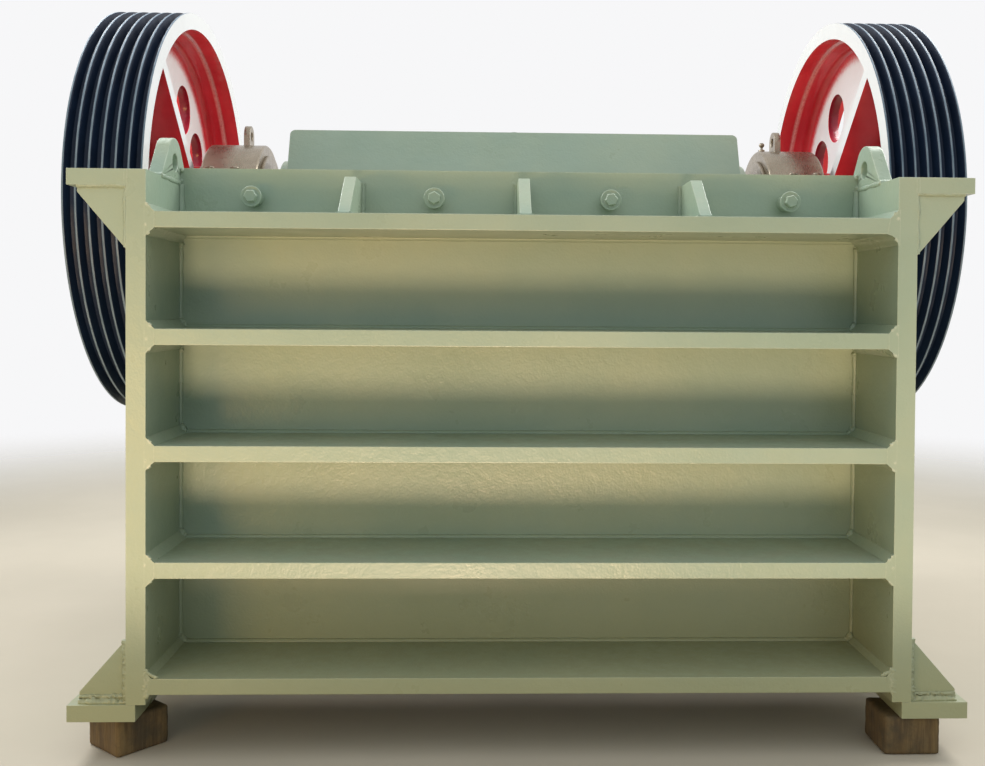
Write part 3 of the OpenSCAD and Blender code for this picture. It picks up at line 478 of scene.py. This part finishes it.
# The studs and nuts of the bearing caps
stud_foot, nut_foot, _, stud_top = levels("cap_bolts", 2)
STUD_R = 10 * MM
CAP_WASHER_R, CAP_WASHER_H = 17 * MM, 3 * MM
NUT_ACROSS, NUT_H = 30 * MM, 17 * MM
stud_tops, solids = [], []
for group in loose_parts("cap_bolts"):
    centre = Vector([(min(p[i] for p in group) + max(p[i] for p in group)) / 2 for i in range(2)] + [0])
    stud_tops.append(centre + Z * stud_top)
    washer_top = nut_foot + CAP_WASHER_H
    for points, faces in (turned([(STUD_R, stud_foot), (STUD_R, stud_top - 2 * MM),
                                  (STUD_R - 1.5 * MM, stud_top)]),
                          turned([(CAP_WASHER_R, nut_foot), (CAP_WASHER_R, washer_top - 0.4 * MM),
                                  (CAP_WASHER_R - 0.6 * MM, washer_top)]),
                          hexagon(NUT_ACROSS, washer_top, washer_top + NUT_H, random.uniform(0, 1))):
        solids.append(([centre + p for p in points], faces))
plates("cap_studs", "cap_bolts", solids)


# Weld beads

BEAD_PITCH = 6 * MM
BEAD_STEP = 2 * MM
BEAD_SIDES = 6
BEAD_RIPPLE = 0.055       # height of the ripples, as a share of the leg
PROUD = 0.3 * MM          # how far ground welds stand out of the plates' faces


class Beads:
    """Collects welds and makes one piece of them."""

    def __init__(self):
        self.points, self.faces = [], []

    def skin(self, rings):
        """Joins rings of points, with flat caps of their own points at both ends."""
        base, count = len(self.points), len(rings[0])
        for ring in rings + [rings[0], rings[-1]]:
            self.points += ring
        for i in range(len(rings) - 1):
            for j in range(count):
                k = (j + 1) % count
                a, b = base + i * count, base + (i + 1) * count
                self.faces.append((a + j, a + k, b + k, b + j))
        first, last = base + len(rings) * count, base + (len(rings) + 1) * count
        self.faces.append([first + j for j in reversed(range(count))])
        self.faces.append([last + j for j in range(count)])

    def fillet(self, start, end, side_a, side_b, leg, bulge=0.13, rough=0.05, wander=0.10, out=None):
        """A rippled weld along a line, between two faces that run from it along side_a and side_b."""
        start, end = Vector(start), Vector(end)
        side_a, side_b = Vector(side_a), Vector(side_b)
        out = out or (side_a + side_b).normalized()
        length = (end - start).length
        along = (end - start).normalized()
        steps = max(4, round(length / BEAD_STEP))
        seed = Vector((random.uniform(-90, 90), random.uniform(-90, 90), 0))
        rings = []
        for i in range(steps + 1):
            s = length * i / steps
            size = leg * (1 + wander * noise.noise(seed + Vector((s * 40, 0, 0))))
            ring = [start + along * s - out * 0.6 * MM]
            for j in range(BEAD_SIDES):
                t = j / (BEAD_SIDES - 1)
                lag = 0.45 * leg * math.sin(math.pi * t)
                wave = BEAD_RIPPLE * abs(math.sin(math.pi * (s + lag) / BEAD_PITCH))
                lump = rough * noise.noise(seed + Vector((s * 230, t * 4, 5)))
                lift = size * (bulge + wave + lump) * math.sin(math.pi * t)
                sunk = 0.6 * MM if j in (0, BEAD_SIDES - 1) else 0
                across = side_a * size * (1 - t) + side_b * size * t
                ring.append(start + along * s + across + out * (lift - sunk))
            rings.append(ring)
        self.skin(rings)

    def ground(self, x, side, low, high, legs, hollow):
        """Weld metal round a rib's end: a slope over and under the rib, ground flush in front."""
        inward = Vector((-side, 0, 0))
        over = 3 * MM
        sides = 7
        seed = Vector((random.uniform(-90, 90),) * 3)
        depths = [FRONT - PROUD, FRONT + 2 * MM]
        while depths[-1] < wall_front - 4 * MM:
            depths.append(depths[-1] + 4 * MM)
        rings = []
        for y in depths + [wall_front]:
            ring = [Vector((x, y, low)) - inward * over - Z * legs[0]]
            for z, up, leg, bend in ((low, -Z, legs[0], hollow[0]), (high, Z, legs[1], hollow[1])):
                slope = []
                for j in range(sides + 1):
                    t = j / sides
                    lump = 0.7 * MM * noise.noise(seed + Vector((t * 4, y * 110, z * 9)))
                    if y < FRONT:
                        lump *= 0.4
                    pull = bend * leg * math.sin(math.pi * t)
                    away = (inward + up).normalized()
                    slope.append(Vector((x, y, z)) + up * leg * (1 - t) + inward * leg * t
                                 + away * (lump * math.sin(math.pi * t) - pull))
                ring += slope if up.z < 0 else slope[::-1]
            ring.append(Vector((x, y, high)) - inward * over + Z * legs[1])
            rings.append(ring if side < 0 else ring[::-1])
        self.skin(rings)

    def strip(self, low, high):
        """A thin ground weld over the seam of two flush plates, from one corner to the opposite one."""
        (x0, y0, z0), (x1, y1, z1) = low, high
        corners = ((x0, z0), (x1, z0), (x1, z1), (x0, z1))
        self.skin([[Vector((x, y, z)) for x, z in corners] for y in (y0, y1)])

    def nub(self, centre, radius, squash=(1, 1, 1)):
        """A lump of weld metal."""
        bm = bmesh.new()
        bmesh.ops.create_icosphere(bm, subdivisions=3, radius=1)
        base = len(self.points)
        seed = Vector((random.uniform(-90, 90),) * 3)
        for v in bm.verts:
            grow = 1 + 0.3 * noise.noise(seed + v.co * 1.7)
            self.points.append(Vector(centre) + Vector([c * q for c, q in zip(v.co, squash)]) * radius * grow)
        self.faces += [tuple(base + v.index for v in f.verts) for f in bm.faces]
        bm.free()

    def make(self, name):
        piece(name, self.points, self.faces, "frame", "sage_paint")


RIB_LEG = 14 * MM
SEAM_LEG = 6 * MM

rib_ends, bay_seams, bay_corners = Beads(), Beads(), Beads()
for number, (lo, hi) in enumerate(ribs, 1):
    for side in (-1, 1):
        x = side * SIDE_IN
        round_corner = number == 1 and side > 0
        legs = (19 * MM if round_corner else RIB_LEG, RIB_LEG)
        if number == len(ribs):
            legs = (1.5 * MM, 10 * MM)
        rib_ends.ground(x, side, lo.z, hi.z, legs, (0.26 if round_corner else 0.04, 0.02))
        # Spatter and lumps that the grinder left at the corners
        for z, up in ((lo.z, -1), (hi.z, 1))[number // len(ribs):]:
            for k in range(3):
                t = random.uniform(0.1, 0.6)
                rib_ends.nub((x - side * RIB_LEG * t, FRONT + 1.2 * MM, z + up * RIB_LEG * (0.95 - t)),
                             random.uniform(1.6, 2.8) * MM, (1, 0.7, 1))
        rib_ends.nub((x + side * random.uniform(-2, 2) * MM, FRONT + 0.4 * MM, random.uniform(lo.z, hi.z)),
                     1.6 * MM, (1.4, 0.6, 1.8))
    for z, up in ((hi.z, Z), (lo.z, -Z)):
        bay_seams.fillet((-SIDE_IN, wall_front, z), (SIDE_IN, wall_front, z), -Y, up, SEAM_LEG)

# The lowest rib's joints are left lumpy
lowest_lo, lowest_hi = ribs[-1]
for side in (-1, 1):
    x = side * SIDE_IN
    for k in range(16):
        t = k / 15
        z = lowest_lo.z - 3 * MM + t * (lowest_hi.z + 16 * MM - lowest_lo.z)
        rib_ends.nub((x + random.uniform(-3, 3) * MM, FRONT + 1.4 * MM, z), random.uniform(2.6, 4.2) * MM,
                     (1.3, 0.6, 1))
    for k in range(4):
        rib_ends.nub((x - side * (4 + 4 * k) * MM, FRONT + 1.4 * MM, lowest_hi.z + (8 - 2 * k) * MM),
                     random.uniform(2.4, 3.6) * MM, (1.3, 0.6, 1))
for below, above in zip(ribs, [None] + ribs):
    for side in (-1, 1):
        x = side * SIDE_IN
        top = above[0].z if above else TOP - 2 * MM
        bay_corners.fillet((x, wall_front, below[1].z), (x, wall_front, top), -side * X, -Y,
                           SEAM_LEG if above else 9 * MM, rough=0.14, wander=0.2)
        bay_corners.nub((x - side * 4 * MM, wall_front - 4 * MM, below[1].z + 8 * MM), 7 * MM, (1.1, 1, 1.2))
        bay_corners.nub((x - side * 9 * MM, wall_front - 3 * MM, below[1].z + 4 * MM), 5 * MM)
        if above:
            bay_corners.nub((x - side * 3 * MM, wall_front - 3 * MM, top - 16 * MM), 4.5 * MM)
rib_ends.make("weld_rib_ends")
bay_seams.make("weld_bay_seams")
bay_corners.make("weld_bay_corners")

stiffener_welds = Beads()
for x, side in zip(edges, (-1, 1) * 3):
    stiffener_welds.fillet((x, STIFFENER_FRONT, st_lo.z), (x, wall_front, st_lo.z), side * X, Z, 5 * MM,
                           rough=0.15)
    stiffener_welds.fillet((x, wall_front, st_lo.z), (x, wall_front, STIFFENER_TOP), side * X, -Y, 6 * MM,
                           rough=0.2, wander=0.3)
stiffener_welds.make("weld_stiffeners")

top_welds = Beads()
for side in (-1, 1):
    name = "right" if side > 0 else "left"
    fl_lo, fl_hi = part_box(f"top_flange_{name}")
    gu_lo, gu_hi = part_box(f"flange_gusset_{name}")
    x = side * SIDE_OUT
    nose = gu_hi.x if side > 0 else gu_lo.x
    under = fl_lo.z
    top_welds.strip((x - 3 * MM, FRONT - PROUD, under), (x + 3 * MM, FRONT + 1 * MM, TOP - 1 * MM))
    for y, ahead, leg in zip(GUSSET_YS[f"flange_gusset_{name}"], (-Y, Y), (5 * MM, 7 * MM)):
        top_welds.fillet((x, y, under), (nose, y, under), ahead, -Z, leg, rough=0.5, wander=0.4)
        top_welds.fillet((x, y, gu_lo.z + 4 * MM), (x, y, under), side * X, ahead, leg, rough=0.5, wander=0.4)
    top_welds.fillet((x, y, under), (x, fl_hi.y, under), side * X, -Z, 9 * MM)
    # Lugs stand on the side plates, flush with their inner faces
    lug_lo, lug_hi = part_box(f"lifting_lug_{name}")
    outer = side * max(abs(lug_lo.x), abs(lug_hi.x))
    inner = side * SIDE_IN
    top_welds.fillet((outer, lug_lo.y, TOP), (outer, lug_hi.y, TOP), side * X, Z, 7 * MM)
    top_welds.fillet((inner, lug_lo.y, TOP), (outer, lug_lo.y, TOP), -Y, Z, 7 * MM, rough=0.2)
    top_welds.fillet((inner, lug_hi.y, TOP), (outer, lug_hi.y, TOP), Y, Z, 7 * MM)
    top_welds.fillet((inner, lug_lo.y - 4 * MM, TOP), (inner, lug_hi.y, TOP), 0.5 * Z, -0.5 * Z, 10 * MM,
                     bulge=0.2, rough=0.2, wander=0.3, out=-side * X)
    # The wall's ends stand above the side plates
    top_welds.nub((side * (SIDE_IN + 1 * MM), wall_front + 8 * MM, TOP + 4 * MM), 8 * MM, (1, 1.6, 0.9))
    top_welds.nub((side * (SIDE_IN - 2 * MM), wall_front + 1 * MM, wall_hi.z - 4 * MM), 5 * MM)
top_welds.make("weld_flanges_and_lugs")

foot_welds = Beads()
for side in (-1, 1):
    name = "right" if side > 0 else "left"
    pl_lo, pl_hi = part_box(f"foot_plate_{name}")
    gu_lo, gu_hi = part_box(f"foot_gussets_{name}")
    x = side * SIDE_OUT
    nose = gu_hi.x if side > 0 else gu_lo.x
    ys = GUSSET_YS[f"foot_gussets_{name}"]
    for i, y in enumerate(ys):
        ahead = -Y if i % 2 == 0 else Y
        foot_welds.fillet((x, y, pl_hi.z), (nose, y, pl_hi.z), ahead, Z, 9 * MM, rough=0.6, wander=0.4)
        foot_welds.fillet((x, y, pl_hi.z + 10 * MM), (nose, y, pl_hi.z + 10 * MM), -0.5 * Z, 0.5 * Z, 9 * MM,
                          bulge=0.3, rough=0.7, wander=0.5, out=ahead)
        foot_welds.fillet((x, y, pl_hi.z), (x, y, gu_hi.z - 4 * MM), side * X, ahead, 9 * MM,
                          bulge=0.25, rough=0.6, wander=0.4)
    for a, b in zip(ys[1::2], ys[2::2]):
        foot_welds.fillet((x, a, pl_hi.z), (x, b, pl_hi.z), side * X, Z, 11 * MM)
foot_welds.make("weld_feet")


# Timber blocks

def timber_block(name, corners):
    """A rough sawn block over four corners of a level rectangle, from the ground up to the foot."""
    low, high = (q.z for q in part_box("support_blocks"))
    a, b, c, d = [Vector((x, y, 0)) for x, y in corners]
    centre = (a + b + c + d) / 4
    u, v = (b - a), (d - a)
    size_u, size_v, height = u.length, v.length, high - low
    u, v = u.normalized(), v.normalized()
    cells = 14
    bm = bmesh.new()
    bmesh.ops.create_cube(bm, size=1)
    bmesh.ops.subdivide_edges(bm, edges=bm.edges, cuts=cells, use_grid_fill=True)
    seed = Vector((random.uniform(-50, 50), random.uniform(-50, 50), random.uniform(-50, 50)))
    radius = 5 * MM
    for vert in bm.verts:
        p = Vector((vert.co.x * size_u, vert.co.y * size_v, vert.co.z * height))
        inner = Vector([max(-s / 2 + radius, min(s / 2 - radius, q))
                        for q, s in zip(p, (size_u, size_v, height))])
        away = p - inner
        if away.length > 1e-9:
            p = inner + away.normalized() * min(radius, away.length)
        wave = noise.noise(seed + p * 38) * 1.0 * MM + noise.noise(seed + p * 160) * 0.5 * MM
        saw = 0.35 * MM * math.sin(p.x * 900 + 3 * noise.noise(seed + p * 20))
        inward = Vector((-p.x / size_u, -p.y / size_v, 0))
        p += inward * 2 * (abs(wave) + saw + 0.8 * MM)
        p.z = max(-height / 2, min(height / 2, p.z))
        vert.co = centre + u * p.x + v * p.y + Vector((0, 0, low + height / 2 + p.z))
    mesh = bpy.data.meshes.new(name)
    bm.to_mesh(mesh)
    bm.free()
    for polygon in mesh.polygons:
        polygon.use_smooth = True
    obj = bpy.data.objects.new(name, mesh)
    bpy.context.scene.collection.objects.link(obj)
    mesh.materials.append(TIMBER)
    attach(obj, "frame")
    return obj


LEFT_BLOCKS_OUT = 14 * MM         # the photo shows them this much farther out
blocks = []
for number, group in enumerate(loose_parts("support_blocks"), 1):
    low = min(p.z for p in group)
    found = sorted({(round(p.x, 4), round(p.y, 4)) for p in group if p.z - low < MM})
    middle = Vector((sum(q[0] for q in found) / len(found), sum(q[1] for q in found) / len(found)))
    ring = sorted(found, key=lambda q: math.atan2(q[1] - middle.y, q[0] - middle.x))
    if middle.x < 0:
        ring = [(q[0] - LEFT_BLOCKS_OUT, q[1]) for q in ring]
    blocks.append(timber_block(f"timber_block_{number}", ring))
for block in blocks:
    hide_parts("support_blocks")


# Small fittings

def grease_nipple(name, foot):
    """A ball-headed lubricator with a hexagon, on top of a bearing cap."""
    body, skirt = turned([(4.5 * MM, -3 * MM), (4.5 * MM, 5 * MM), (3.2 * MM, 6 * MM), (2.6 * MM, 10 * MM),
                          (3.6 * MM, 11.5 * MM), (5.6 * MM, 13.5 * MM), (6.6 * MM, 16.5 * MM),
                          (5.8 * MM, 19.5 * MM), (3.8 * MM, 21.6 * MM), (1.4 * MM, 22.4 * MM)])
    nut, nut_faces = turned([(7.4 * MM, 0), (7.8 * MM, 0.8 * MM), (7.8 * MM, 4.6 * MM),
                             (7.0 * MM, 5.6 * MM)], 6)
    points = [Vector(foot) + p for p in body + nut]
    faces = skirt + [tuple(len(body) + i for i in f) for f in nut_faces]
    piece(name, points, faces, "frame", "bare_steel")


def from_axis(p):
    return math.hypot(p.y - axis[1], p.z - axis[2])


cap_lo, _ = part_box("bearing_cap_right")
cap_r = max(from_axis(v.co) for v in frame["nodes"]["bearing_cap_right"].data.vertices
            if abs(v.co.y - axis[1]) > 60 * MM and v.co.z - axis[2] > 60 * MM)
grease_nipple("grease_nipple", (cap_lo.x + 16 * MM, axis[1], axis[2] + cap_r - 0.5 * MM))


def thread(name, centres, radius, start_z, end_z, pitch):
    """Rolled threads round the ends of upright studs."""
    sides = 20
    points, faces = [], []
    for centre in centres:
        base = len(points)
        rings = int((end_z - start_z) / pitch * 2)
        for i in range(rings + 1):
            r = radius + (0.7 * MM if i % 2 else 0.02 * MM)
            z = start_z + i * pitch / 2
            for j in range(sides):
                a = 2 * math.pi * j / sides
                lead = pitch * j / sides
                around = Vector((r * math.cos(a), r * math.sin(a), min(end_z, z + lead)))
                points.append(Vector(centre) + around)
        for i in range(rings):
            for j in range(sides):
                k = (j + 1) % sides
                a, b = base + i * sides, base + (i + 1) * sides
                faces.append((a + j, a + k, b + k, b + j))
    piece(name, points, faces, "frame", "bare_steel", smooth=False)


thread("cap_stud_threads", stud_tops, STUD_R, -12 * MM, -2.5 * MM, 2.5 * MM)


# Stage, light and camera

def pale_floor():
    """A pale, sandy floor that fades out into the backdrop away from the machine."""
    s = Shader("pale_floor")
    at = s.add("ShaderNodeVectorMath", operation="LENGTH")
    s.plug(s.coords.outputs["Object"], at.inputs[0])
    s.set(Base_Color=s.mix(s.step(s.noise(1.2, 5, 0.6), 0.3, 0.7), (0.50, 0.435, 0.335), (0.46, 0.40, 0.305)),
          Roughness=0.7, Alpha=s.step(at.outputs["Value"], 2.2, 5.0, 1.0, 0.0))
    return s.material


# The low sun comes up through the floor in front of the machine, and is held back nearer by and farther off
FLOOR = pale_floor()
REACH = 6
SUN_NEAR, SUN_FAR = FRONT - 0.58, FRONT - 2.2
SUN_BELOW, SUN_LEFT = 23, 2       # degrees
for name, low, high, shades in (("floor", SUN_NEAR, REACH, True), ("floor_sunlit", SUN_FAR, SUN_NEAR, False),
                                ("floor_front", -REACH, SUN_FAR, True)):
    floor_mesh = bpy.data.meshes.new(name)
    floor_mesh.from_pydata([(-REACH, low, 0), (REACH, low, 0), (REACH, high, 0), (-REACH, high, 0)],
                           [], [(0, 1, 2, 3)])
    floor_mesh.materials.append(FLOOR)
    floor = bpy.data.objects.new(name, floor_mesh)
    floor.visible_shadow = shades
    bpy.context.scene.collection.objects.link(floor)

# A dim hall in front of the machine, and daylight from behind and above
world = bpy.data.worlds.new("studio")
bpy.context.scene.world = world
world.use_nodes = True
tree = world.node_tree
ambient = tree.nodes["Background"]
where = tree.nodes.new("ShaderNodeTexCoord")
split = tree.nodes.new("ShaderNodeSeparateXYZ")
tree.links.new(where.outputs["Generated"], split.inputs[0])
last = None
for output, low, high, near, far in (("Y", -0.92, -0.55, (0.74, 0.88, 0.95, 1), (0.40, 0.48, 0.52, 1)),
                                     ("Y", -0.2, 0.7, None, (1.20, 1.25, 1.30, 1)),
                                     ("Z", 0.3, 0.9, None, (1.13, 1.20, 1.26, 1)),
                                     ("Z", 0.0, -0.02, None, (0, 0, 0, 1))):
    step = tree.nodes.new("ShaderNodeMapRange")
    step.interpolation_type = "SMOOTHSTEP"
    step.inputs["From Min"].default_value = low
    step.inputs["From Max"].default_value = high
    tree.links.new(split.outputs[output], step.inputs["Value"])
    blend = tree.nodes.new("ShaderNodeMix")
    blend.data_type = "RGBA"
    tree.links.new(step.outputs["Result"], blend.inputs["Factor"])
    if last:
        tree.links.new(last, blend.inputs[6])
    else:
        blend.inputs[6].default_value = near
    blend.inputs[7].default_value = far
    last = blend.outputs[2]
tree.links.new(last, ambient.inputs["Color"])
ambient.inputs["Strength"].default_value = 1.0
backdrop = tree.nodes.new("ShaderNodeBackground")
backdrop.inputs["Color"].default_value = (0.93, 0.93, 0.94, 1)
backdrop.inputs["Strength"].default_value = 1.0
rays = tree.nodes.new("ShaderNodeLightPath")
choose = tree.nodes.new("ShaderNodeMixShader")
shown = rays.outputs["Is Camera Ray"]
for kind in ("Is Glossy Ray", "Is Transmission Ray"):
    either = tree.nodes.new("ShaderNodeMath")
    either.operation = "MAXIMUM"
    tree.links.new(shown, either.inputs[0])
    tree.links.new(rays.outputs[kind], either.inputs[1])
    shown = either.outputs[0]
tree.links.new(shown, choose.inputs["Fac"])
tree.links.new(ambient.outputs[0], choose.inputs[1])
tree.links.new(backdrop.outputs[0], choose.inputs[2])
tree.links.new(choose.outputs[0], tree.nodes["World Output"].inputs["Surface"])


def softbox(name, place, target, size, watts, colour):
    """A rectangular lamp that the camera doesn't see, turned to a target."""
    data = bpy.data.lights.new(name, "AREA")
    data.shape = "RECTANGLE"
    data.size, data.size_y = size
    data.energy = watts
    data.color = colour
    lamp = bpy.data.objects.new(name, data)
    lamp.location = place
    lamp.rotation_euler = (Vector(target) - Vector(place)).to_track_quat("-Z", "Y").to_euler()
    lamp.visible_camera = False
    bpy.context.scene.collection.objects.link(lamp)


sun_data = bpy.data.lights.new("low_sun", "SUN")
sun_data.energy = 2.25
sun_data.angle = math.radians(15)
sun_data.color = (1.0, 0.71, 0.47)
sun = bpy.data.objects.new("low_sun", sun_data)
sun.rotation_euler = (math.radians(90 + SUN_BELOW), 0, math.radians(-SUN_LEFT))
bpy.context.scene.collection.objects.link(sun)
softbox("high_right", (1.7, FRONT + 0.95, 2.3), (-0.7, FRONT + 0.45, 1.0), (1.3, 1.0), 48, (1.0, 1.0, 0.98))
softbox("high_left", (-1.7, FRONT + 0.95, 2.3), (0.7, FRONT + 0.45, 1.0), (1.3, 1.0), 48, (0.97, 0.99, 1.0))
softbox("warm_left", (-1.7, FRONT - 2.0, 0.30), (-0.6, FRONT, 0.35), (0.9, 0.5), 14, (1.0, 0.58, 0.16))

CAMERA_F = 1058.11        # focal length in pixels of the 985-pixel frame
CAMERA_CX, CAMERA_CY = 515.2, 331.41
CAMERA_AT = (-0.0697, FRONT - 1.7628, side_lo.z + 0.6588)
CAMERA_YAW, CAMERA_PITCH, CAMERA_ROLL = 0.0299, 0.0190, 0.0072

camera_data = bpy.data.cameras.new("camera")
camera_data.sensor_width = 36
camera_data.lens = CAMERA_F / IMAGE_W * 36
camera_data.shift_x = -(CAMERA_CX - IMAGE_W / 2) / IMAGE_W
camera_data.shift_y = (CAMERA_CY - IMAGE_H / 2) / IMAGE_W
camera = bpy.data.objects.new("camera", camera_data)
turn = (Matrix.Rotation(-CAMERA_YAW, 4, "Z") @ Matrix.Rotation(math.pi / 2 - CAMERA_PITCH, 4, "X")
        @ Matrix.Rotation(CAMERA_ROLL, 4, "Z"))
camera.matrix_world = Matrix.Translation(CAMERA_AT) @ turn
bpy.context.scene.collection.objects.link(camera)
bpy.context.scene.camera = camera
bpy.context.scene.view_settings.view_transform = "Standard"

bpy.context.view_layer.update()
